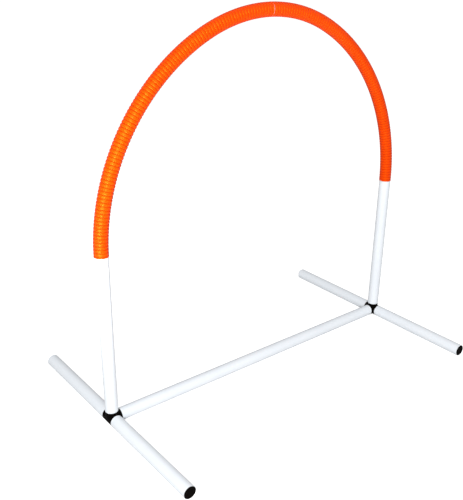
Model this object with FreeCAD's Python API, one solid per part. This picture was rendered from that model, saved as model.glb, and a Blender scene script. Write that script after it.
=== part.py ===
import FreeCAD, Part
import math
import os

# Dog-agility hoop: a free-standing gate of plug-together plastic tube that a dog runs through.
# A crossbar lies on the floor between two moulded connectors. Each connector also carries a front
# foot, a rear foot and an upright. A flexible pipe in ribbed sleeves bends from one upright to the
# other and makes the arch.
#
# Units are millimetres. X runs along the crossbar, Y along the feet and Z up. The origin is on the
# floor, midway between the two uprights. "Front" is the -Y side, and "left" is the -X side.

# Rigid tube stock, used for the crossbar, the feet and the uprights
TUBE_RADIUS = 16.0
TUBE_BORE = 14.2

# Layout
UPRIGHT_SPACING = 942.0
CROSSBAR_LENGTH = 900.0
FOOT_LENGTH = 306.0
UPRIGHT_LENGTH = 403.0

# Arch: on each side a shoulder arc from the upright, then a tighter crest arc to the top
ARCH_RISE = 497.0
SHOULDER_ANGLE = 65.0
ARCH_PIPE_RADIUS = 12.5
ARCH_PIPE_BORE = 10.5
ARCH_TAIL_LENGTH = 56.0

# Ribbed sleeve over the arch pipe, measured over its ribs
SLEEVE_RADIUS = 17.0
SLEEVE_BORE = 12.8
SLEEVE_END_GAP = 0.2

# Clearances, all on the radius
SLIDE_FIT = 0.08
PRESS_FIT = 0.04

# Connector cores sit just under the tubes' outsides, and their spigots plug into the tubes
CORE_RADIUS = 15.7
SPIGOT_LENGTH = 36.0
SPIGOT_SHANK_RADIUS = 13.3
SPIGOT_BORE = 9.5
SPIGOT_FLOOR = 4.0
SPIGOT_CHAMFER = 1.5
GRIP_RING_WIDTH = 3.0
GRIP_RING_STARTS = (2.0, 12.0, 22.0)

# End caps of the feet: a dished rim against the tube's end, on a hollow shank
CAP_RIM_RADIUS = 15.1
CAP_RIM_THICKNESS = 1.0
CAP_RIM_CHAMFER = 0.4
CAP_HEAD_THICKNESS = 3.0
CAP_LENGTH = 20.0
CAP_SHANK_RADIUS = 13.2
CAP_HOLLOW_RADIUS = 10.8
CAP_RING_WIDTH = 2.5
CAP_RING_STARTS = (7.0, 13.0)
CAP_DISH_RADIUS = 10.5
CAP_DISH_DEPTH = 0.4

# Reducer bushes, which hold the arch pipe in the tops of the uprights
BUSH_FLANGE = 2.0
BUSH_LENGTH = 58.0
BUSH_LEAD_IN = 1.0

# Coupler that joins the two halves of the arch pipe at the crest
COLLAR_RADIUS = 16.2
COLLAR_HALF_WIDTH = 0.7
COUPLER_BORE = 8.0
COUPLER_REACH = 46.0

# Derived places
HALF_SPACING = UPRIGHT_SPACING / 2
CORE_HALF = (UPRIGHT_SPACING - CROSSBAR_LENGTH) / 2
AXIS_HEIGHT = TUBE_RADIUS
UPRIGHT_FOOT = AXIS_HEIGHT + CORE_HALF
UPRIGHT_TOP = UPRIGHT_FOOT + UPRIGHT_LENGTH
SPRING_HEIGHT = UPRIGHT_TOP + BUSH_FLANGE
CREST_HEIGHT = SPRING_HEIGHT + ARCH_RISE

# Arc radii that meet smoothly at SHOULDER_ANGLE and reach the crest level
SHOULDER_SIN = math.sin(math.radians(SHOULDER_ANGLE))
SHOULDER_COS = math.cos(math.radians(SHOULDER_ANGLE))
CREST_SHARE = (1 - SHOULDER_SIN) / SHOULDER_COS
SHOULDER_SPAN = SHOULDER_SIN - CREST_SHARE * (1 - SHOULDER_COS)
SHOULDER_RADIUS = (ARCH_RISE - CREST_SHARE * HALF_SPACING) / SHOULDER_SPAN
CREST_RADIUS = (HALF_SPACING - SHOULDER_RADIUS * (1 - SHOULDER_COS)) / SHOULDER_COS
CREST_ANGLE = 90 - SHOULDER_ANGLE

SIDES = {"left": -1, "right": 1}
ENDS = {"front": -1, "rear": 1}
X_AXIS = FreeCAD.Vector(1, 0, 0)
Y_AXIS = FreeCAD.Vector(0, 1, 0)
Z_AXIS = FreeCAD.Vector(0, 0, 1)


def connector_centre(side):
    """Where the axes of the crossbar, the feet and the upright cross."""
    return FreeCAD.Vector(side * HALF_SPACING, 0, AXIS_HEIGHT)


def tube(start, direction, length, outer, bore):
    """A straight tube with square ends."""
    solid = Part.makeCylinder(outer, length, start, direction)
    return solid.cut(Part.makeCylinder(bore, length, start, direction))


def turned(profile, start, direction):
    """A solid of revolution. The profile lists (distance along the axis, radius)."""
    points = [FreeCAD.Vector(radius, 0, along) for along, radius in profile]
    outline = Part.makePolygon(points + points[:1])
    solid = Part.Face(outline).revolve(FreeCAD.Vector(), Z_AXIS, 360)
    solid.Placement = FreeCAD.Placement(start, FreeCAD.Rotation(Z_AXIS, direction))
    return solid


def ring_steps(starts, width, shank, crest):
    """Profile points for square grip rings that stand up from a shank."""
    points = []
    for start in starts:
        points += [(start, shank), (start, crest), (start + width, crest), (start + width, shank)]
    return points


def spigot(centre, direction):
    """A hollow spigot with grip rings, from the connector's middle outwards."""
    start = centre + direction * CORE_HALF
    crest = TUBE_BORE - SLIDE_FIT
    profile = [(-SPIGOT_FLOOR, 0), (-SPIGOT_FLOOR, SPIGOT_SHANK_RADIUS)]
    profile += ring_steps(GRIP_RING_STARTS, GRIP_RING_WIDTH, SPIGOT_SHANK_RADIUS, crest)
    profile += [(SPIGOT_LENGTH - SPIGOT_CHAMFER, SPIGOT_SHANK_RADIUS)]
    profile += [(SPIGOT_LENGTH, SPIGOT_SHANK_RADIUS - SPIGOT_CHAMFER)]
    profile += [(SPIGOT_LENGTH, SPIGOT_BORE), (0, SPIGOT_BORE), (0, 0)]
    return turned(profile, start, direction)


def connector(side):
    """Four-way connector: a core that bridges the gaps between the tubes, and four spigots."""
    centre = connector_centre(side)
    inward = X_AXIS * -side
    core = Part.makeCylinder(CORE_RADIUS, 2 * CORE_HALF, centre - Y_AXIS * CORE_HALF, Y_AXIS)
    arms = [Part.makeCylinder(CORE_RADIUS, CORE_HALF, centre, way) for way in (inward, Z_AXIS)]
    arms += [spigot(centre, way) for way in (inward, Z_AXIS, Y_AXIS, -Y_AXIS)]
    return core.multiFuse(arms).removeSplitter()


def crossbar():
    start = FreeCAD.Vector(-CROSSBAR_LENGTH / 2, 0, AXIS_HEIGHT)
    return tube(start, X_AXIS, CROSSBAR_LENGTH, TUBE_RADIUS, TUBE_BORE)


def foot_tube(side, end):
    outward = Y_AXIS * end
    start = connector_centre(side) + outward * CORE_HALF
    return tube(start, outward, FOOT_LENGTH, TUBE_RADIUS, TUBE_BORE)


def end_cap(side, end):
    """Push-in cap: a dished rim a little smaller than the tube, and a shank with two grip rings."""
    inward = Y_AXIS * -end
    seat = connector_centre(side) - inward * (CORE_HALF + FOOT_LENGTH)
    crest = TUBE_BORE - PRESS_FIT
    face = -CAP_RIM_THICKNESS
    profile = [(face + CAP_DISH_DEPTH, 0), (face + CAP_DISH_DEPTH, CAP_DISH_RADIUS - CAP_DISH_DEPTH)]
    profile += [(face, CAP_DISH_RADIUS), (face, CAP_RIM_RADIUS - CAP_RIM_CHAMFER)]
    profile += [(face + CAP_RIM_CHAMFER, CAP_RIM_RADIUS), (0, CAP_RIM_RADIUS), (0, crest)]
    profile += [(CAP_HEAD_THICKNESS, crest), (CAP_HEAD_THICKNESS, CAP_SHANK_RADIUS)]
    profile += ring_steps(CAP_RING_STARTS, CAP_RING_WIDTH, CAP_SHANK_RADIUS, crest)
    profile += [(CAP_LENGTH, CAP_SHANK_RADIUS), (CAP_LENGTH, CAP_HOLLOW_RADIUS)]
    profile += [(CAP_HEAD_THICKNESS, CAP_HOLLOW_RADIUS), (CAP_HEAD_THICKNESS, 0)]
    return turned(profile, seat, inward)


def upright_tube(side):
    start = FreeCAD.Vector(side * HALF_SPACING, 0, UPRIGHT_FOOT)
    return tube(start, Z_AXIS, UPRIGHT_LENGTH, TUBE_RADIUS, TUBE_BORE)


def reducer_bush(side):
    """Flanged bush in the top of an upright, with a lead-in for the arch pipe."""
    seat = FreeCAD.Vector(side * HALF_SPACING, 0, UPRIGHT_TOP)
    shank = TUBE_BORE - PRESS_FIT
    bore = ARCH_PIPE_RADIUS + SLIDE_FIT
    profile = [(-BUSH_LENGTH, bore), (-BUSH_LENGTH, shank), (0, shank), (0, TUBE_RADIUS)]
    profile += [(BUSH_FLANGE, TUBE_RADIUS), (BUSH_FLANGE, bore + BUSH_LEAD_IN)]
    profile += [(BUSH_FLANGE - BUSH_LEAD_IN, bore)]
    return turned(profile, seat, Z_AXIS)


def annulus(centre, normal, outer, bore):
    """A flat ring face."""
    rim = Part.Wire(Part.makeCircle(outer, centre, normal))
    hole = Part.Wire(Part.makeCircle(bore, centre, normal))
    return Part.makeFace([rim, hole], "Part::FaceMakerBullseye")


def crest_arc(side, outer, bore, first, last):
    """A bent tube about the crest arc's centre, between two distances from the crest."""
    pivot = FreeCAD.Vector(0, 0, CREST_HEIGHT - CREST_RADIUS)
    axis = Y_AXIS * side
    face = annulus(FreeCAD.Vector(0, 0, CREST_HEIGHT), X_AXIS, outer, bore)
    face.rotate(pivot, axis, math.degrees(first / CREST_RADIUS))
    return face.revolve(pivot, axis, math.degrees((last - first) / CREST_RADIUS))


def shoulder_arc(side, outer, bore):
    """A bent tube from the spring line up to the start of the crest arc."""
    foot = FreeCAD.Vector(side * HALF_SPACING, 0, SPRING_HEIGHT)
    pivot = foot - X_AXIS * (side * SHOULDER_RADIUS)
    return annulus(foot, Z_AXIS, outer, bore).revolve(pivot, Y_AXIS * -side, SHOULDER_ANGLE)


def arch_half(side, outer, bore):
    """One half of the arch, from the spring line to the coupler's collar."""
    crest_run = math.radians(CREST_ANGLE) * CREST_RADIUS
    crest = crest_arc(side, outer, bore, COLLAR_HALF_WIDTH, crest_run)
    return shoulder_arc(side, outer, bore).fuse(crest)


def arch_pipe(side):
    """Half of the flexible pipe, with the straight tail that plugs into the bush."""
    foot = FreeCAD.Vector(side * HALF_SPACING, 0, SPRING_HEIGHT)
    tail = tube(foot, -Z_AXIS, ARCH_TAIL_LENGTH, ARCH_PIPE_RADIUS, ARCH_PIPE_BORE)
    return arch_half(side, ARCH_PIPE_RADIUS, ARCH_PIPE_BORE).fuse(tail).removeSplitter()


def ribbed_sleeve(side):
    """The sleeve's envelope over its ribs, cut just clear of the bush flange."""
    foot = FreeCAD.Vector(side * HALF_SPACING, 0, SPRING_HEIGHT)
    trim = Part.makeCylinder(2 * SLEEVE_RADIUS, SLEEVE_END_GAP, foot, Z_AXIS)
    return arch_half(side, SLEEVE_RADIUS, SLEEVE_BORE).cut(trim).removeSplitter()


def crest_coupler():
    """A hollow bent spigot into each half of the pipe, with a thin collar between them."""
    outer = ARCH_PIPE_BORE - PRESS_FIT
    solids = []
    for side in SIDES.values():
        solids.append(crest_arc(side, outer, COUPLER_BORE, 0, COUPLER_REACH))
        solids.append(crest_arc(side, COLLAR_RADIUS, COUPLER_BORE, 0, COLLAR_HALF_WIDTH))
    return solids[0].multiFuse(solids[1:]).removeSplitter()


def build():
    """Every sub-part by its node name."""
    nodes = {"crossbar_tube": crossbar(), "crest_coupler": crest_coupler()}
    for hand, side in SIDES.items():
        nodes[hand + "_connector"] = connector(side)
        nodes[hand + "_upright_tube"] = upright_tube(side)
        nodes[hand + "_reducer_bush"] = reducer_bush(side)
        nodes[hand + "_arch_pipe"] = arch_pipe(side)
        nodes[hand + "_ribbed_sleeve"] = ribbed_sleeve(side)
        for place, end in ENDS.items():
            nodes[hand + "_" + place + "_foot_tube"] = foot_tube(side, end)
            nodes[hand + "_" + place + "_end_cap"] = end_cap(side, end)
    return nodes


os.makedirs("parts", exist_ok=True)
for name, shape in build().items():
    shape.exportStep("parts/" + name + ".step")
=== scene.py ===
import math

import bmesh
import bpy
import numpy as np
from mathutils import Matrix, Vector


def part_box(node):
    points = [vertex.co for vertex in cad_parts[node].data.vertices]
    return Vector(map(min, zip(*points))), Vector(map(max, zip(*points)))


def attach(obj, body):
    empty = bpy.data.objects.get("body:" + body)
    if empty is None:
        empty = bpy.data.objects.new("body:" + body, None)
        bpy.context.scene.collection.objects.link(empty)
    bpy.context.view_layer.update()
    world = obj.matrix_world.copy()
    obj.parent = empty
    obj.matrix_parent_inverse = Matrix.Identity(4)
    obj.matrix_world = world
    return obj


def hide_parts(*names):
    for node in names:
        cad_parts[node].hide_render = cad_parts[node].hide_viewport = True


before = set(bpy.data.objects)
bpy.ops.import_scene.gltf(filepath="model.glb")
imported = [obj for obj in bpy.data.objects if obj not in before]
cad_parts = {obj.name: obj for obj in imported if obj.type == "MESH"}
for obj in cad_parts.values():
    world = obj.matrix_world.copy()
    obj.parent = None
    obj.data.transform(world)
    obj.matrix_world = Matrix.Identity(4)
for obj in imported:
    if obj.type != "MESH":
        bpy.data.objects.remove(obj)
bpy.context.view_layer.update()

# Dog-agility hoop: rigid white tubes on black push-fit connectors, and an arch of flexible pipe in
# orange ribbed sleeves. Everything is in metres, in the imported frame: X along the crossbar, Y along
# the feet, Z up. Outlines are rows of (distance along the axis, radius).

SIDES = {"left": -1, "right": 1}
ENDS = {"front": -1, "rear": 1}
X_AXIS, Y_AXIS, Z_AXIS = np.eye(3)

# Rigid tube
TUBE_RADIUS = 0.016
TUBE_BORE = 0.0142
SAW_EASE = 0.0004

# Rounding of corners: how many eases of flat are kept flat beside one, and the most of a side it takes
FLAT_KEPT = 2.2
SIDE_SHARE = 0.45

# Places of the tubes' square ends in the frame
BAR_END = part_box("crossbar_tube")[1].x
FOOT_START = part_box("left_rear_foot_tube")[0].y
FOOT_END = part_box("left_rear_foot_tube")[1].y
UPRIGHT_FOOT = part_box("left_upright_tube")[0].z
UPRIGHT_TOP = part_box("left_upright_tube")[1].z
SPRING_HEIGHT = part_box("left_reducer_bush")[1].z
BUSH_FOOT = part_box("left_reducer_bush")[0].z
PIPE_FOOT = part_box("left_arch_pipe")[0].z
CORE_HALF = FOOT_START
HALF_SPACING = BAR_END + CORE_HALF
AXIS_HEIGHT = UPRIGHT_FOOT - CORE_HALF

# Arch: a shoulder arc on each side, then a tighter crest arc
ARCH_RISE = 0.497
SHOULDER_TURN = math.radians(65)
CREST_TURN = math.pi / 2 - SHOULDER_TURN
CREST_SHARE = (1 - math.sin(SHOULDER_TURN)) / math.cos(SHOULDER_TURN)
SHOULDER_SPREAD = 1 - math.cos(SHOULDER_TURN)
SHOULDER_RADIUS = (ARCH_RISE - CREST_SHARE * HALF_SPACING) / (
    math.sin(SHOULDER_TURN) - CREST_SHARE * SHOULDER_SPREAD
)
CREST_RADIUS = (HALF_SPACING - SHOULDER_RADIUS * SHOULDER_SPREAD) / math.cos(SHOULDER_TURN)
CREST_HEIGHT = SPRING_HEIGHT + ARCH_RISE
SHOULDER_RUN = SHOULDER_TURN * SHOULDER_RADIUS
ARCH_RUN = SHOULDER_RUN + CREST_TURN * CREST_RADIUS

# Arch pipe, its coupler and the sleeves
PIPE_RADIUS = 0.0125
PIPE_BORE = 0.0105
COUPLER_RADIUS = 0.01046
COUPLER_BORE = 0.008
COUPLER_REACH = 0.046
COLLAR_RADIUS = 0.0162
COLLAR_HALF_WIDTH = 0.0007
SLEEVE_RADIUS = 0.017
SLEEVE_BORE = 0.0128
SLEEVE_GAP = 0.0002
RIBS = 94
RIB_DEPTH = 0.0013
# One rib from the middle of a crest to the middle of the next: (share of the pitch, height share)
RIB_SHAPE = (
    (0, 1), (0.14, 0.98), (0.27, 0.93), (0.345, 0.74), (0.41, 0.30), (0.455, 0.06),
    (0.5, 0), (0.545, 0.06), (0.59, 0.30), (0.655, 0.74), (0.73, 0.93), (0.86, 0.98),
)

# Connectors: cores just under the tubes' size, and hollow spigots with grip rings
CORE_RADIUS = 0.0157
CORE_EASE = 0.0006
CORE_RIM = 0.002
CREASE_BLEND = 0.0025
SPIGOT_SHANK = 0.0133
SPIGOT_RING = 0.01412
SPIGOT_BORE = 0.0095
SPIGOT_LENGTH = 0.036
SPIGOT_CHAMFER = 0.0015
RING_WIDTH = 0.003
RING_EASE = 0.00025
RING_STARTS = (0.002, 0.012, 0.022)
# Rings of points along an arm, closer together near the crease: shares of the way to its rim
ARM_SHARES = (0, 0.05, 0.12, 0.2, 0.3, 0.45, 0.65, 0.85)

# End caps: a dished rim against the tube's end, and a hollow shank with grip rings
CAP_RIM_RADIUS = 0.0151
CAP_RIM = 0.001
CAP_RADIUS = 0.01416
CAP_SHANK = 0.0132
CAP_HOLLOW = 0.0108
CAP_HEAD = 0.003
CAP_LENGTH = 0.020
CAP_DISH_RADIUS = 0.0105
CAP_DISH_DEPTH = 0.0004
CAP_RING_WIDTH = 0.0025
CAP_RING_STARTS = (0.007, 0.013)
GATE_RADIUS = 0.0011
GATE_DEPTH = 0.0002

# Reducer bushes
BUSH_SHANK = 0.01416
BUSH_BORE = 0.01258
BUSH_LEAD_IN = 0.001

# Mesh fineness
TUBE_FACETS = 96
SLEEVE_FACETS = 72
MOULDING_FACETS = 72
BEND_STEP = 0.006
ARC_STEPS = 4
MERGE = 1e-6
SLACK = 1e-6


# ---------------------------------------------------------------- outlines and guides

def eased(corners, closed=True, base=0.0):
    """Rounds the corners (along, radius, ease) of an outline, and gives rows (along, radius, edge)."""
    points = np.array([corner[:2] for corner in corners], float)
    rows = []
    for place, (along, radius, ease) in enumerate(corners):
        here = points[place]
        if ease == 0 or (not closed and place in (0, len(corners) - 1)):
            rows.append((along, radius, base))
            continue
        back = points[place - 1] - here
        on = points[(place + 1) % len(points)] - here
        back_length, on_length = np.linalg.norm(back), np.linalg.norm(on)
        back_hold = max(min(FLAT_KEPT * ease, SIDE_SHARE * back_length), ease)
        on_hold = max(min(FLAT_KEPT * ease, SIDE_SHARE * on_length), ease)
        start, end = here + back / back_length * ease, here + on / on_length * ease
        rows.append((*(here + back / back_length * back_hold), base))
        for step in range(ARC_STEPS + 1):
            share = step / ARC_STEPS
            point = start * (1 - share) ** 2 + here * 2 * share * (1 - share) + end * share**2
            rows.append((*point, 1.0))
        rows.append((*(here + on / on_length * on_hold), base))
    return rows


def spaced(rows, step, closed=True):
    """Adds rows so that none is further than step along the axis from the next."""
    spread = []
    following = rows[1:] + (rows[:1] if closed else [])
    for row, after in zip(rows, following):
        parts = max(1, math.ceil(abs(after[0] - row[0]) / step - SLACK))
        for part in range(parts):
            spread.append(tuple(a + (b - a) * part / parts for a, b in zip(row, after)))
    return spread if closed else spread + rows[-1:]


def grip_rings(starts, width, shank, crest, offset=0.0):
    """Corners for square grip rings that stand up from a shank."""
    corners = []
    for start in starts:
        near, far = offset + start, offset + (start + width)
        corners += [(near, shank, RING_EASE), (near, crest, RING_EASE)]
        corners += [(far, crest, RING_EASE), (far, shank, RING_EASE)]
    return corners


def cross_axes(way):
    """The two frame axes that are square to a third."""
    return np.eye(3)[np.abs(way) < 0.5]


def straight_guide(start, way):
    """A straight axis: gives the centres and the two cross directions for distances along it."""
    across = cross_axes(way)

    def guide(along):
        centres = np.array(start, float) + along[:, None] * way
        return centres, np.tile(across[0], (len(along), 1)), np.tile(across[1], (len(along), 1))

    return guide


def arch_guide(side):
    """The arch's centre line, by distance up from the spring line. Below that it is straight."""

    def guide(along):
        on_shoulder = along < SHOULDER_RUN
        turn = np.where(
            on_shoulder,
            np.maximum(along, 0) / SHOULDER_RADIUS,
            SHOULDER_TURN + (along - SHOULDER_RUN) / CREST_RADIUS,
        )
        radius = np.where(on_shoulder, SHOULDER_RADIUS, CREST_RADIUS)
        pivot_x = np.where(on_shoulder, HALF_SPACING - SHOULDER_RADIUS, 0)
        pivot_z = np.where(on_shoulder, SPRING_HEIGHT, CREST_HEIGHT - CREST_RADIUS)
        zero = np.zeros_like(along)
        x = side * (pivot_x + radius * np.cos(turn))
        z = pivot_z + radius * np.sin(turn) + np.minimum(along, 0)
        outward = np.stack([side * np.cos(turn), zero, np.sin(turn)], axis=1)
        return np.stack([x, zero, z], axis=1), outward, np.tile(Y_AXIS, (len(along), 1))

    return guide


# ---------------------------------------------------------------- meshes

def ring_points(rows, guide, facets):
    """Every row's ring of points round the guide, and the same points on the straight stock."""
    along, radius, _ = np.array(rows, float).T
    angle = np.arange(facets) * 2 * math.pi / facets
    centres, first, second = guide(along)
    cosine = radius[:, None] * np.cos(angle)
    sine = radius[:, None] * np.sin(angle)
    rings = centres[:, None] + cosine[..., None] * first[:, None] + sine[..., None] * second[:, None]
    lengthwise = np.broadcast_to(along[:, None], cosine.shape)
    return rings, np.stack([cosine, sine, lengthwise], axis=2)


def skin_faces(ring_count, facets, closed, offset=0):
    """Quads between successive rings, and from the last ring back to the first if closed."""
    this = np.arange(ring_count if closed else ring_count - 1)[:, None]
    column = np.arange(facets)[None]
    after, beside = (this + 1) % ring_count, (column + 1) % facets
    corners = [this * facets + column, this * facets + beside]
    corners += [after * facets + beside, after * facets + column]
    return (np.stack(corners, axis=2).reshape(-1, 4) + offset).tolist()


def make_mesh(name, points, faces, stock, edge):
    """A smooth mesh with the straight-stock place and edge share of every point kept as attributes."""
    mesh = bpy.data.meshes.new(name)
    mesh.from_pydata(points.reshape(-1, 3).tolist(), [], faces)
    mesh.attributes.new("stock", "FLOAT_VECTOR", "POINT").data.foreach_set("vector", stock.ravel())
    mesh.attributes.new("edge", "FLOAT", "POINT").data.foreach_set("value", edge.ravel())
    work = bmesh.new()
    work.from_mesh(mesh)
    bmesh.ops.remove_doubles(work, verts=work.verts, dist=MERGE)
    bmesh.ops.recalc_face_normals(work, faces=work.faces)
    work.to_mesh(mesh)
    work.free()
    mesh.shade_smooth()
    return mesh


def turned_mesh(name, rows, guide, facets, closed=True, stock_offset=0.0):
    """A hollow piece if the outline is closed, or one that starts and ends on its axis."""
    rings, stock = ring_points(rows, guide, facets)
    stock = stock + (0, 0, stock_offset)
    edge = np.repeat([row[2] for row in rows], facets)
    return make_mesh(name, rings, skin_faces(len(rows), facets, closed), stock, edge)


def add_piece(node, mesh, body, slot):
    """Puts the finished piece in place of its CAD node, on the same body."""
    piece = bpy.data.objects.new(node + "_piece", mesh)
    bpy.context.scene.collection.objects.link(piece)
    mesh.materials.append(MATERIALS[slot])
    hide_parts(node)
    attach(piece, body)


# ---------------------------------------------------------------- pieces

def connector_centre(side):
    return np.array([side * HALF_SPACING, 0, AXIS_HEIGHT])


def tube_mesh(name, start, way, length, stock_offset):
    """Sawn length of rigid tube. The offset gives each its own stretch of the stock's marks."""
    corners = [(0, TUBE_BORE, SAW_EASE), (0, TUBE_RADIUS, SAW_EASE)]
    corners += [(length, TUBE_RADIUS, SAW_EASE), (length, TUBE_BORE, SAW_EASE)]
    guide = straight_guide(start, way)
    return turned_mesh(name, eased(corners), guide, TUBE_FACETS, stock_offset=stock_offset)


def cap_mesh(name, seat, inward):
    """Push-in cap: a dished rim with a gate mark, on a hollow shank with two grip rings."""
    dish = CAP_DISH_DEPTH - CAP_RIM
    gate = dish - GATE_DEPTH
    corners = [(gate, 0, 0), (gate, GATE_RADIUS, 0.0001), (dish, GATE_RADIUS + GATE_DEPTH, 0.0001)]
    corners += [(dish, CAP_DISH_RADIUS - CAP_DISH_DEPTH, 0.0002), (-CAP_RIM, CAP_DISH_RADIUS, 0.0002)]
    corners += [(-CAP_RIM, CAP_RIM_RADIUS, 0.0005), (0, CAP_RIM_RADIUS, 0.0002), (0, CAP_RADIUS, 0)]
    corners += [(CAP_HEAD, CAP_RADIUS, 0.0002), (CAP_HEAD, CAP_SHANK, 0.0002)]
    corners += grip_rings(CAP_RING_STARTS, CAP_RING_WIDTH, CAP_SHANK, CAP_RADIUS)
    corners += [(CAP_LENGTH, CAP_SHANK, 0.0004), (CAP_LENGTH, CAP_HOLLOW, 0.0004)]
    corners += [(CAP_HEAD, CAP_HOLLOW, 0.0006), (CAP_HEAD, 0, 0)]
    rows = eased(corners, closed=False)
    return turned_mesh(name, rows, straight_guide(seat, inward), MOULDING_FACETS, closed=False)


def bush_mesh(name, side):
    """Flanged bush in the top of an upright, with a lead-in for the arch pipe."""
    seat = (side * HALF_SPACING, 0, 0)
    corners = [(BUSH_FOOT, BUSH_BORE, 0.0004), (BUSH_FOOT, BUSH_SHANK, 0.0006)]
    corners += [(UPRIGHT_TOP, BUSH_SHANK, 0), (UPRIGHT_TOP, TUBE_RADIUS, 0.0002)]
    corners += [(SPRING_HEIGHT, TUBE_RADIUS, 0.0005), (SPRING_HEIGHT, BUSH_BORE + BUSH_LEAD_IN, 0.0003)]
    corners += [(SPRING_HEIGHT - BUSH_LEAD_IN, BUSH_BORE, 0.0003)]
    return turned_mesh(name, eased(corners), straight_guide(seat, Z_AXIS), MOULDING_FACETS)


def pipe_mesh(name, side):
    """Half of the arch pipe, from its tail in the bush to the coupler's collar."""
    tail, tip = PIPE_FOOT - SPRING_HEIGHT, ARCH_RUN - COLLAR_HALF_WIDTH
    corners = [(tail, PIPE_BORE, SAW_EASE), (tail, PIPE_RADIUS, SAW_EASE)]
    corners += [(tip, PIPE_RADIUS, SAW_EASE), (tip, PIPE_BORE, SAW_EASE)]
    rows = spaced(eased(corners), BEND_STEP)
    return turned_mesh(name, rows, arch_guide(side), MOULDING_FACETS)


def sleeve_mesh(name, side):
    """Ribbed sleeve: up the ribs, which start and end on a crest, and back down the smooth bore."""
    foot, tip = SLEEVE_GAP, ARCH_RUN - COLLAR_HALF_WIDTH
    pitch = (tip - foot) / RIBS
    ends = eased(
        [
            (foot, SLEEVE_BORE, 0.0003), (foot, SLEEVE_RADIUS, 0.0004),
            (tip, SLEEVE_RADIUS, 0.0004), (tip, SLEEVE_BORE, 0.0003),
        ],
        base=1.0,
    )
    half = len(ends) // 2
    ribs = []
    for rib in range(RIBS):
        for share, height in RIB_SHAPE:
            radius = SLEEVE_RADIUS - RIB_DEPTH * (1 - height)
            ribs.append((foot + (rib + share) * pitch, radius, height))
    bore = spaced([ends[-1], ends[0]], BEND_STEP, closed=False)[1:-1]
    rows = ends[:half] + ribs[1:] + ends[half:] + bore
    return turned_mesh(name, rows, arch_guide(side), SLEEVE_FACETS)


def coupler_mesh(name):
    """Hollow spigots for both halves of the pipe, with a thin collar between them."""
    shank, reach, half = COUPLER_RADIUS, COUPLER_REACH, COLLAR_HALF_WIDTH
    corners = [(-reach, COUPLER_BORE, 0.0004), (-reach, shank, 0.0008), (-half, shank, 0)]
    corners += [(-half, COLLAR_RADIUS, 0.0003), (half, COLLAR_RADIUS, 0.0003), (half, shank, 0)]
    corners += [(reach, shank, 0.0008), (reach, COUPLER_BORE, 0.0004)]
    rows = spaced(eased(corners), BEND_STEP)

    def guide(along):
        turn = along / CREST_RADIUS
        zero = np.zeros_like(along)
        outward = np.stack([np.sin(turn), zero, np.cos(turn)], axis=1)
        pivot = np.array([0, 0, CREST_HEIGHT - CREST_RADIUS])
        return pivot + CREST_RADIUS * outward, outward, np.tile(Y_AXIS, (len(along), 1))

    return turned_mesh(name, rows, guide, MOULDING_FACETS)


def crease_distances(way, ways, across, angle):
    """How far out along an arm its wall begins, where it comes out of the neighbouring arms."""
    distance = np.zeros_like(angle)
    for axis, offset in zip(across, (np.cos(angle), np.sin(angle))):
        for sign in (-1, 1):
            if any(np.allclose(other, sign * axis) for other in ways):
                distance = np.maximum(distance, np.maximum(sign * offset, 0) * CORE_RADIUS)
    return distance


def blend_creases(points, ways):
    """Fills the creases between arms. Points are relative to the connector's centre."""
    reach = np.linalg.norm(points, axis=-1, keepdims=True)
    exits, normals = [], []
    for way in ways:
        lengthwise = np.maximum(points @ way, 0)[..., None]
        radial = points - lengthwise * way
        width = np.linalg.norm(radial, axis=-1, keepdims=True)
        exits.append(CORE_RADIUS * reach / width)
        normals.append(radial / width)
    exits, normals = np.stack(exits), np.stack(normals)
    order = np.argsort(-exits, axis=0)[:2]
    first, second = np.take_along_axis(exits, order, axis=0)
    first_normal, second_normal = np.take_along_axis(normals, order, axis=0)
    sharpness = 1 - np.sum(first_normal * second_normal, axis=-1, keepdims=True)
    nearness = np.maximum(1 - (first - second) / CREASE_BLEND, 0)
    fill = CREASE_BLEND / 4 * nearness**2 * np.clip(sharpness, 0, 1)
    return points * (1 + fill / reach)


def spigot_rows():
    """Outline of an arm from its rim: the end face, the ringed spigot, its bore and its floor."""
    corners = [(CORE_HALF - CORE_RIM, CORE_RADIUS, 0), (CORE_HALF, CORE_RADIUS, CORE_EASE)]
    corners += [(CORE_HALF, SPIGOT_SHANK, 0.0004)]
    corners += grip_rings(RING_STARTS, RING_WIDTH, SPIGOT_SHANK, SPIGOT_RING, CORE_HALF)
    tip = CORE_HALF + SPIGOT_LENGTH
    corners += [(tip - SPIGOT_CHAMFER, SPIGOT_SHANK, 0.0004)]
    corners += [(tip, SPIGOT_SHANK - SPIGOT_CHAMFER, 0.0004)]
    corners += [(tip, SPIGOT_BORE, 0.0004), (CORE_HALF, SPIGOT_BORE, 0.001), (CORE_HALF, 0, 0)]
    return eased(corners, closed=False)


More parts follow.
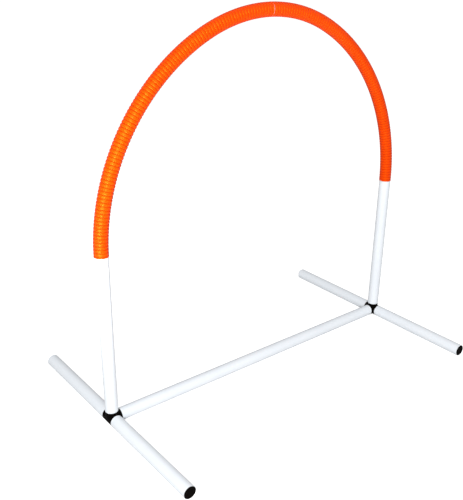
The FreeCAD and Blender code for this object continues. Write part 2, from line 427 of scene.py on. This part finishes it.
def connector_mesh(name, side):
    """Four arms that meet in blended creases. Each arm runs on into its own spigot."""
    ways = [-side * X_AXIS, Z_AXIS, Y_AXIS, -Y_AXIS]
    angle = np.arange(MOULDING_FACETS) * 2 * math.pi / MOULDING_FACETS
    rows = spigot_rows()
    shares = np.array(ARM_SHARES)[:, None]
    all_points, faces, edges = [], [], []
    for way in ways:
        across = cross_axes(way)
        crease = crease_distances(way, ways, across, angle)
        lengthwise = crease + shares * (rows[0][0] - crease)
        wall = CORE_RADIUS * (np.cos(angle)[:, None] * across[0] + np.sin(angle)[:, None] * across[1])
        arm = blend_creases(wall[None] + lengthwise[..., None] * way, ways)
        rings, _ = ring_points(rows, straight_guide(np.zeros(3), way), MOULDING_FACETS)
        arm = np.concatenate([arm, rings])
        faces += skin_faces(len(arm), MOULDING_FACETS, False, sum(map(len, all_points)))
        all_points.append(arm.reshape(-1, 3))
        edges.append(np.repeat([0.0] * len(ARM_SHARES) + [row[2] for row in rows], MOULDING_FACETS))
    points = np.concatenate(all_points)
    return make_mesh(name, points + connector_centre(side), faces, points, np.concatenate(edges))


# ---------------------------------------------------------------- node helpers

def add_node(tree, kind, inputs=None, **settings):
    """A shader node with its settings, and each named input set to a value or linked to a socket."""
    node = tree.nodes.new("ShaderNode" + kind)
    for name, value in settings.items():
        setattr(node, name, value)
    for name, value in (inputs or {}).items():
        if isinstance(value, bpy.types.NodeSocket):
            tree.links.new(value, node.inputs[name])
        else:
            node.inputs[name].default_value = value
    return node


def maths(tree, operation, first, second=0.0, clamp=False):
    return add_node(tree, "Math", {0: first, 1: second}, operation=operation, use_clamp=clamp).outputs[0]


def stretch(tree, place, scale):
    return add_node(tree, "VectorMath", {0: place, 1: scale}, operation="MULTIPLY").outputs[0]


def ramp(tree, value, low, high, to_low=0.0, to_high=1.0):
    """Takes a value from one range to another along a smooth step."""
    inputs = {"Value": value, 1: low, 2: high, 3: to_low, 4: to_high}
    return add_node(tree, "MapRange", inputs, interpolation_type="SMOOTHSTEP").outputs[0]


def noise(tree, place, scale, detail=2.0, roughness=0.5):
    inputs = {"Vector": place, "Scale": scale, "Detail": detail, "Roughness": roughness}
    return add_node(tree, "TexNoise", inputs).outputs[0]


def mix_colours(tree, share, first, second):
    node = add_node(tree, "Mix", {0: share, 6: first, 7: second}, data_type="RGBA")
    return node.outputs[2]


def new_group(name, inputs, outputs):
    """A shader node group with its sockets: returns the tree, its input sockets and its output node."""
    tree = bpy.data.node_groups.new(name, "ShaderNodeTree")
    for label, (kind, value) in inputs.items():
        socket = tree.interface.new_socket(label, in_out="INPUT", socket_type="NodeSocket" + kind)
        if value is not None:
            socket.default_value = value
    for label, kind in outputs.items():
        tree.interface.new_socket(label, in_out="OUTPUT", socket_type="NodeSocket" + kind)
    return tree, tree.nodes.new("NodeGroupInput").outputs, tree.nodes.new("NodeGroupOutput")


def use_group(tree, group, **inputs):
    """Places a group in a material, and returns its outputs."""
    node = tree.nodes.new("ShaderNodeGroup")
    node.node_tree = group
    for name, value in inputs.items():
        socket = node.inputs[name.replace("_", " ")]
        if isinstance(value, bpy.types.NodeSocket):
            tree.links.new(value, socket)
        else:
            socket.default_value = value
    return node.outputs


# ---------------------------------------------------------------- shared surface effects

def make_slow_mottle():
    """Broad, soft drift of the plastic's shade along the stock."""
    inputs = {"Place": ("Vector", None), "Scale": ("Float", 12.0)}
    tree, given, result = new_group("slow_mottle", inputs, {"Shade": "Float"})
    broad = noise(tree, given["Place"], given["Scale"], 3.0, 0.55)
    tree.links.new(ramp(tree, broad, 0.3, 0.7), result.inputs["Shade"])
    return tree


def make_die_lines():
    """Fine lines that the extrusion die leaves along the stock."""
    inputs = {"Place": ("Vector", None), "Fineness": ("Float", 900.0)}
    tree, given, result = new_group("die_lines", inputs, {"Lines": "Float"})
    drawn_out = stretch(tree, given["Place"], (1.0, 1.0, 0.004))
    fine = noise(tree, drawn_out, given["Fineness"], 3.0, 0.6)
    tree.links.new(ramp(tree, fine, 0.25, 0.75), result.inputs["Lines"])
    return tree


def make_handling_scuffs():
    """Sparse short rubs along and across the stock, in patches."""
    inputs = {"Place": ("Vector", None), "Cover": ("Float", 0.5)}
    tree, given, result = new_group("handling_scuffs", inputs, {"Scuffs": "Float"})
    along = noise(tree, stretch(tree, given["Place"], (1.0, 1.0, 0.06)), 900.0, 2.0)
    across = noise(tree, stretch(tree, given["Place"], (0.12, 0.12, 1.0)), 1300.0, 2.0)
    rubs = maths(tree, "MAXIMUM", ramp(tree, along, 0.66, 0.78), ramp(tree, across, 0.68, 0.8))
    patches = ramp(tree, noise(tree, given["Place"], 26.0, 3.0, 0.6), 0.5, 0.68)
    cover = maths(tree, "MULTIPLY", maths(tree, "MULTIPLY", rubs, patches), given["Cover"], clamp=True)
    tree.links.new(cover, result.inputs["Scuffs"])
    return tree


def make_edge_wear():
    """Broken rubbing on the rounded edges."""
    inputs = {"Place": ("Vector", None), "Scale": ("Float", 500.0), "Amount": ("Float", 0.5)}
    tree, given, result = new_group("edge_wear", inputs, {"Wear": "Float"})
    edge = add_node(tree, "Attribute", attribute_name="edge").outputs["Fac"]
    broken = ramp(tree, noise(tree, given["Place"], given["Scale"], 4.0, 0.65), 0.42, 0.66)
    worn = maths(tree, "MULTIPLY", maths(tree, "MULTIPLY", edge, broken), given["Amount"], clamp=True)
    tree.links.new(worn, result.inputs["Wear"])
    return tree


def make_floor_dust():
    """Dust that settles on the lowest few millimetres of what lies on the floor."""
    inputs = {"Height": ("Float", 0.008), "Amount": ("Float", 0.4)}
    tree, given, result = new_group("floor_dust", inputs, {"Dust": "Float"})
    place = add_node(tree, "TexCoord").outputs["Object"]
    height = add_node(tree, "SeparateXYZ", {0: place}).outputs["Z"]
    low = maths(tree, "SUBTRACT", 1.0, maths(tree, "DIVIDE", height, given["Height"]), clamp=True)
    patchy = ramp(tree, noise(tree, place, 90.0, 5.0, 0.65), 0.35, 0.7, 0.25, 1.0)
    dust = maths(tree, "MULTIPLY", maths(tree, "MULTIPLY", low, patchy), given["Amount"], clamp=True)
    tree.links.new(dust, result.inputs["Dust"])
    return tree


def make_moulded_grain():
    """Fine even grain of a spark-eroded mould."""
    inputs = {"Place": ("Vector", None), "Fineness": ("Float", 1600.0)}
    tree, given, result = new_group("moulded_grain", inputs, {"Grain": "Float"})
    spread = {"Vector": given["Place"], "Scale": given["Fineness"]}
    cells = add_node(tree, "TexVoronoi", spread).outputs["Distance"]
    fine = noise(tree, given["Place"], given["Fineness"], 3.0, 0.6)
    grain = maths(tree, "ADD", maths(tree, "MULTIPLY", cells, 0.6), fine)
    tree.links.new(grain, result.inputs["Grain"])
    return tree


MOTTLE = make_slow_mottle()
DIE_LINES = make_die_lines()
SCUFFS = make_handling_scuffs()
EDGE_WEAR = make_edge_wear()
FLOOR_DUST = make_floor_dust()
GRAIN = make_moulded_grain()


# ---------------------------------------------------------------- materials

# Colours, each from one end of the plastic's slow drift to the other where there are two
TUBE_WHITES = (0.81, 0.853, 0.902, 1), (0.84, 0.878, 0.917, 1)
TUBE_LINE = (0.71, 0.755, 0.815, 1)
TUBE_SCUFF = (0.58, 0.58, 0.58, 1)
TUBE_WEAR = (0.62, 0.61, 0.59, 1)
FLOOR_DIRT = (0.42, 0.37, 0.30, 1)
PIPE_WHITES = (0.70, 0.705, 0.71, 1), (0.75, 0.75, 0.745, 1)
PIPE_SCUFF = (0.45, 0.44, 0.42, 1)
SLEEVE_ORANGES = (0.84, 0.044, 0.0001, 1), (0.88, 0.052, 0.0002, 1)
# Painted shade for the ribs' valleys
SLEEVE_VALLEY_SHADE = (0.48, 0.016, 0.0001, 1)
SLEEVE_LINE = (0.80, 0.038, 0.0001, 1)
SLEEVE_RUB = (0.95, 0.09, 0.003, 1)
# Painted shade for the edges that turn away from the eye
SLEEVE_EDGE_SHADE = (0.45, 0.010, 0.0001, 1)
SLEEVE_SHEEN = (1.0, 0.95, 0.07, 1)
MOULDING_BLACKS = (0.0016, 0.0010, 0.0008, 1), (0.0030, 0.0019, 0.0014, 1)
MOULDING_RUB = (0.016, 0.012, 0.010, 1)
MOULDING_WHITES = (0.70, 0.69, 0.68, 1), (0.75, 0.745, 0.74, 1)
MOULDING_WEAR = (0.50, 0.48, 0.45, 1)


def start_material(name, specular):
    """An empty material with its shader, and the socket of the point's place on the stock."""
    material = bpy.data.materials.new(name)
    material.use_nodes = True
    tree = material.node_tree
    shader = tree.nodes["Principled BSDF"]
    shader.inputs["Specular IOR Level"].default_value = specular
    place = add_node(tree, "Attribute", attribute_name="stock").outputs["Vector"]
    return material, tree, shader, place


def set_bump(tree, shader, height, depth):
    """Relief on the shader's normal, with its depth in metres."""
    bump = add_node(tree, "Bump", {"Height": height, "Distance": depth, "Strength": 1.0})
    tree.links.new(bump.outputs[0], shader.inputs["Normal"])


def rigid_tube_material():
    """White rigid tube: faint die lines, scuffs from handling, and floor dust along its underside."""
    material, tree, shader, place = start_material("rigid_white_tube", 0.5)
    shade = use_group(tree, MOTTLE, Place=place, Scale=9.0)["Shade"]
    lines = use_group(tree, DIE_LINES, Place=place, Fineness=800.0)["Lines"]
    scuffs = use_group(tree, SCUFFS, Place=place, Cover=0.35)["Scuffs"]
    wear = use_group(tree, EDGE_WEAR, Place=place, Scale=600.0, Amount=0.5)["Wear"]
    dust = use_group(tree, FLOOR_DUST, Height=0.007, Amount=0.35)["Dust"]
    colour = mix_colours(tree, shade, *TUBE_WHITES)
    colour = mix_colours(tree, maths(tree, "MULTIPLY", lines, 0.06), colour, TUBE_LINE)
    colour = mix_colours(tree, scuffs, colour, TUBE_SCUFF)
    colour = mix_colours(tree, wear, colour, TUBE_WEAR)
    colour = mix_colours(tree, dust, colour, FLOOR_DIRT)
    tree.links.new(colour, shader.inputs["Base Color"])
    roughness = ramp(tree, lines, 0.0, 1.0, 0.18, 0.25)
    roughness = maths(tree, "ADD", roughness, maths(tree, "MULTIPLY", scuffs, 0.4))
    roughness = maths(tree, "ADD", roughness, maths(tree, "MULTIPLY", dust, 0.6), clamp=True)
    tree.links.new(roughness, shader.inputs["Roughness"])
    height = maths(tree, "SUBTRACT", maths(tree, "MULTIPLY", lines, 0.5), scuffs)
    set_bump(tree, shader, height, 0.00004)
    return material


def arch_pipe_material():
    """White flexible pipe, smoother and a little warmer than the tubes."""
    material, tree, shader, place = start_material("flexible_white_pipe", 0.4)
    shade = use_group(tree, MOTTLE, Place=place, Scale=14.0)["Shade"]
    lines = use_group(tree, DIE_LINES, Place=place, Fineness=500.0)["Lines"]
    scuffs = use_group(tree, SCUFFS, Place=place, Cover=0.6)["Scuffs"]
    colour = mix_colours(tree, shade, *PIPE_WHITES)
    colour = mix_colours(tree, scuffs, colour, PIPE_SCUFF)
    tree.links.new(colour, shader.inputs["Base Color"])
    roughness = ramp(tree, maths(tree, "ADD", lines, scuffs), 0.0, 2.0, 0.3, 0.6)
    tree.links.new(roughness, shader.inputs["Roughness"])
    set_bump(tree, shader, lines, 0.00003)
    return material


def sleeve_material():
    """Orange ribbed sleeve: painted shade in the valleys and where it turns away from the eye, with
    rubbed crests.
    """
    material, tree, shader, place = start_material("orange_ribbed_sleeve", 0.36)
    shader.inputs["Specular Tint"].default_value = SLEEVE_SHEEN
    crest = add_node(tree, "Attribute", attribute_name="edge").outputs["Fac"]
    shade = use_group(tree, MOTTLE, Place=place, Scale=16.0)["Shade"]
    lines = use_group(tree, DIE_LINES, Place=place, Fineness=420.0)["Lines"]
    scuffs = use_group(tree, SCUFFS, Place=place, Cover=0.4)["Scuffs"]
    wear = use_group(tree, EDGE_WEAR, Place=place, Scale=260.0, Amount=0.12)["Wear"]
    grain = use_group(tree, GRAIN, Place=place, Fineness=1500.0)["Grain"]
    colour = mix_colours(tree, shade, *SLEEVE_ORANGES)
    # Painted shade: the ribs' valleys are darkened toward a deeper orange
    colour = mix_colours(tree, ramp(tree, crest, 0.0, 0.75, 0.5, 0.0), colour, SLEEVE_VALLEY_SHADE)
    colour = mix_colours(tree, maths(tree, "MULTIPLY", lines, 0.10), colour, SLEEVE_LINE)
    colour = mix_colours(tree, maths(tree, "MAXIMUM", scuffs, wear), colour, SLEEVE_RUB)
    # Painted shade: the colour darkens toward a deep red where the surface turns away from the eye
    turned_away = add_node(tree, "LayerWeight", {"Blend": 0.5}).outputs["Facing"]
    colour = mix_colours(tree, ramp(tree, turned_away, 0.35, 0.95, 0.0, 0.6), colour, SLEEVE_EDGE_SHADE)
    tree.links.new(colour, shader.inputs["Base Color"])
    roughness = ramp(tree, grain, 0.2, 1.2, 0.43, 0.49)
    roughness = maths(tree, "ADD", roughness, maths(tree, "MULTIPLY", scuffs, 0.3), clamp=True)
    tree.links.new(roughness, shader.inputs["Roughness"])
    set_bump(tree, shader, maths(tree, "ADD", lines, grain), 0.00002)
    return material


def black_moulding_material():
    """Black moulded connectors and caps: spark-eroded grain, and faintly rubbed edges."""
    material, tree, shader, place = start_material("black_moulding", 0.03)
    grain = use_group(tree, GRAIN, Place=place, Fineness=1400.0)["Grain"]
    shade = use_group(tree, MOTTLE, Place=place, Scale=70.0)["Shade"]
    wear = use_group(tree, EDGE_WEAR, Place=place, Scale=700.0, Amount=0.35)["Wear"]
    scuffs = use_group(tree, SCUFFS, Place=place, Cover=0.5)["Scuffs"]
    colour = mix_colours(tree, shade, *MOULDING_BLACKS)
    colour = mix_colours(tree, maths(tree, "MAXIMUM", wear, scuffs), colour, MOULDING_RUB)
    tree.links.new(colour, shader.inputs["Base Color"])
    tree.links.new(ramp(tree, grain, 0.2, 1.3, 0.40, 0.62), shader.inputs["Roughness"])
    set_bump(tree, shader, grain, 0.00006)
    return material


def white_moulding_material():
    """White moulded bushes and coupler."""
    material, tree, shader, place = start_material("white_moulding", 0.35)
    grain = use_group(tree, GRAIN, Place=place, Fineness=1400.0)["Grain"]
    shade = use_group(tree, MOTTLE, Place=place, Scale=60.0)["Shade"]
    wear = use_group(tree, EDGE_WEAR, Place=place, Scale=700.0, Amount=0.4)["Wear"]
    colour = mix_colours(tree, shade, *MOULDING_WHITES)
    colour = mix_colours(tree, wear, colour, MOULDING_WEAR)
    tree.links.new(colour, shader.inputs["Base Color"])
    tree.links.new(ramp(tree, grain, 0.2, 1.3, 0.42, 0.60), shader.inputs["Roughness"])
    set_bump(tree, shader, grain, 0.00005)
    return material


# Each slot's material
MATERIALS = {
    "white_tube": rigid_tube_material(),
    "black_moulding": black_moulding_material(),
    "coupler_white": white_moulding_material(),
    "arch_pipe_white": arch_pipe_material(),
    "orange_sleeve": sleeve_material(),
}


# ---------------------------------------------------------------- the hoop

def build_foot(hand, side, place, end):
    """A foot tube and its end cap, on the front or the rear arm of a connector."""
    name = hand + "_" + place + "_foot"
    start = connector_centre(side) + CORE_HALF * end * Y_AXIS
    seat = connector_centre(side) + FOOT_END * end * Y_AXIS
    offset = side * (3 + 2 * end)
    tube = tube_mesh(name, start, end * Y_AXIS, FOOT_END - FOOT_START, offset)
    add_piece(name + "_tube", tube, name, "white_tube")
    cap = cap_mesh(name + "_cap", seat, -end * Y_AXIS)
    add_piece(hand + "_" + place + "_end_cap", cap, name, "black_moulding")


def build_side(hand, side):
    """A connector, with the upright, the half of the arch and the two feet that stand on it."""
    upright = hand + "_upright"
    connector = connector_mesh(hand + "_connector", side)
    add_piece(hand + "_connector", connector, "base", "black_moulding")
    foot = (side * HALF_SPACING, 0, UPRIGHT_FOOT)
    tube = tube_mesh(upright, foot, Z_AXIS, UPRIGHT_TOP - UPRIGHT_FOOT, side * 2)
    add_piece(upright + "_tube", tube, upright, "white_tube")
    bush = bush_mesh(hand + "_bush", side)
    add_piece(hand + "_reducer_bush", bush, upright, "coupler_white")
    pipe = pipe_mesh(hand + "_pipe", side)
    add_piece(hand + "_arch_pipe", pipe, "arch", "arch_pipe_white")
    sleeve = sleeve_mesh(hand + "_sleeve", side)
    add_piece(hand + "_ribbed_sleeve", sleeve, "arch", "orange_sleeve")
    for place, end in ENDS.items():
        build_foot(hand, side, place, end)


def build_hoop():
    crossbar = tube_mesh("crossbar", (-BAR_END, 0, AXIS_HEIGHT), X_AXIS, 2 * BAR_END, 0)
    add_piece("crossbar_tube", crossbar, "base", "white_tube")
    add_piece("crest_coupler", coupler_mesh("coupler"), "arch", "coupler_white")
    for hand, side in SIDES.items():
        build_side(hand, side)


# ---------------------------------------------------------------- stage

WHITE = (1.0, 1.0, 1.0, 1)
FLOOR_HALF = 40.0
FLOOR_DROP = 0.0003
FLOOR_GREY = (0.7, 0.7, 0.7, 1)
FLOOR_GLOW = 0.75
AIR_GLOW = 0.45
BACKDROP_GLOW = 1.0

# Lamps: name, place, target, watts, width and height, and the angle that a grid keeps the light to
LAMPS = (
    ("front_panel", (-2.0, -2.28, 1.75), (0.0, 0.0, 0.4), 90.0, (0.6, 0.6), 180),
    ("side_strip", (-1.03, -0.46, 0.62), (-0.5, 0.0, 0.95), 3.6, (0.24, 1.0), 64),
    ("overhead", (-0.25, -0.7, 2.1), (0.0, 0.0, 0.9), 3.0, (0.5, 0.4), 180),
)


def floor_material():
    """Pale studio floor. It glows to the eye, but throws only soft light back onto the hoop."""
    material = bpy.data.materials.new("studio_floor")
    material.use_nodes = True
    tree = material.node_tree
    shader = tree.nodes["Principled BSDF"]
    shader.inputs["Roughness"].default_value = 0.9
    shader.inputs["Specular IOR Level"].default_value = 0.0
    seen = add_node(tree, "LightPath").outputs["Is Camera Ray"]
    shader.inputs["Emission Color"].default_value = WHITE
    tree.links.new(maths(tree, "MULTIPLY", seen, FLOOR_GLOW), shader.inputs["Emission Strength"])
    shader.inputs["Base Color"].default_value = FLOOR_GREY
    return material


def build_floor():
    mesh = bpy.data.meshes.new("floor")
    half = FLOOR_HALF
    corners = [(-half, -half, 0), (half, -half, 0), (half, half, 0), (-half, half, 0)]
    mesh.from_pydata(corners, [], [(0, 1, 2, 3)])
    mesh.materials.append(floor_material())
    floor = bpy.data.objects.new("floor", mesh)
    floor.location.z = -FLOOR_DROP
    bpy.context.scene.collection.objects.link(floor)


def add_lamp(name, place, target, power, size, spread):
    """A soft rectangular lamp that faces its target and doesn't show itself."""
    lamp = bpy.data.lights.new(name, "AREA")
    lamp.energy = power
    lamp.shape = "RECTANGLE"
    lamp.size, lamp.size_y = size
    lamp.spread = math.radians(spread)
    holder = bpy.data.objects.new(name, lamp)
    holder.location = place
    holder.rotation_euler = (Vector(target) - Vector(place)).to_track_quat("-Z", "Y").to_euler()
    holder.visible_camera = False
    bpy.context.scene.collection.objects.link(holder)


def build_lights():
    """The air's even glow, a brighter backdrop, and the lamps."""
    world = bpy.data.worlds.new("studio_air")
    world.use_nodes = True
    tree = world.node_tree
    backdrop = tree.nodes["Background"]
    backdrop.inputs["Color"].default_value = WHITE
    seen = add_node(tree, "LightPath").outputs["Is Camera Ray"]
    glow = ramp(tree, seen, 0.0, 1.0, AIR_GLOW, BACKDROP_GLOW)
    tree.links.new(glow, backdrop.inputs["Strength"])
    bpy.context.scene.world = world
    for lamp in LAMPS:
        add_lamp(*lamp)
    bpy.context.scene.view_settings.view_transform = "Standard"


# Camera: standing at the front left corner, looking down across the hoop
CAMERA_PLACE = (-1.1313, -1.2874, 1.0631)
CAMERA_HEADING = math.radians(-38.53)
CAMERA_DIP = math.radians(23.01)
CAMERA_ROLL = math.radians(0.62)
CAMERA_LENS = 50.82
CAMERA_FILM = 36.0
CAMERA_REACH = 200.0


def build_camera():
    camera = bpy.data.cameras.new("camera")
    camera.lens = CAMERA_LENS
    camera.sensor_width = CAMERA_FILM
    camera.clip_end = CAMERA_REACH
    holder = bpy.data.objects.new("camera", camera)
    heading = Matrix.Rotation(CAMERA_HEADING, 4, "Z")
    tilt = Matrix.Rotation(math.pi / 2 - CAMERA_DIP, 4, "X") @ Matrix.Rotation(CAMERA_ROLL, 4, "Z")
    holder.matrix_world = Matrix.Translation(CAMERA_PLACE) @ heading @ tilt
    bpy.context.scene.collection.objects.link(holder)
    bpy.context.scene.camera = holder


build_hoop()
build_floor()
build_lights()
build_camera()
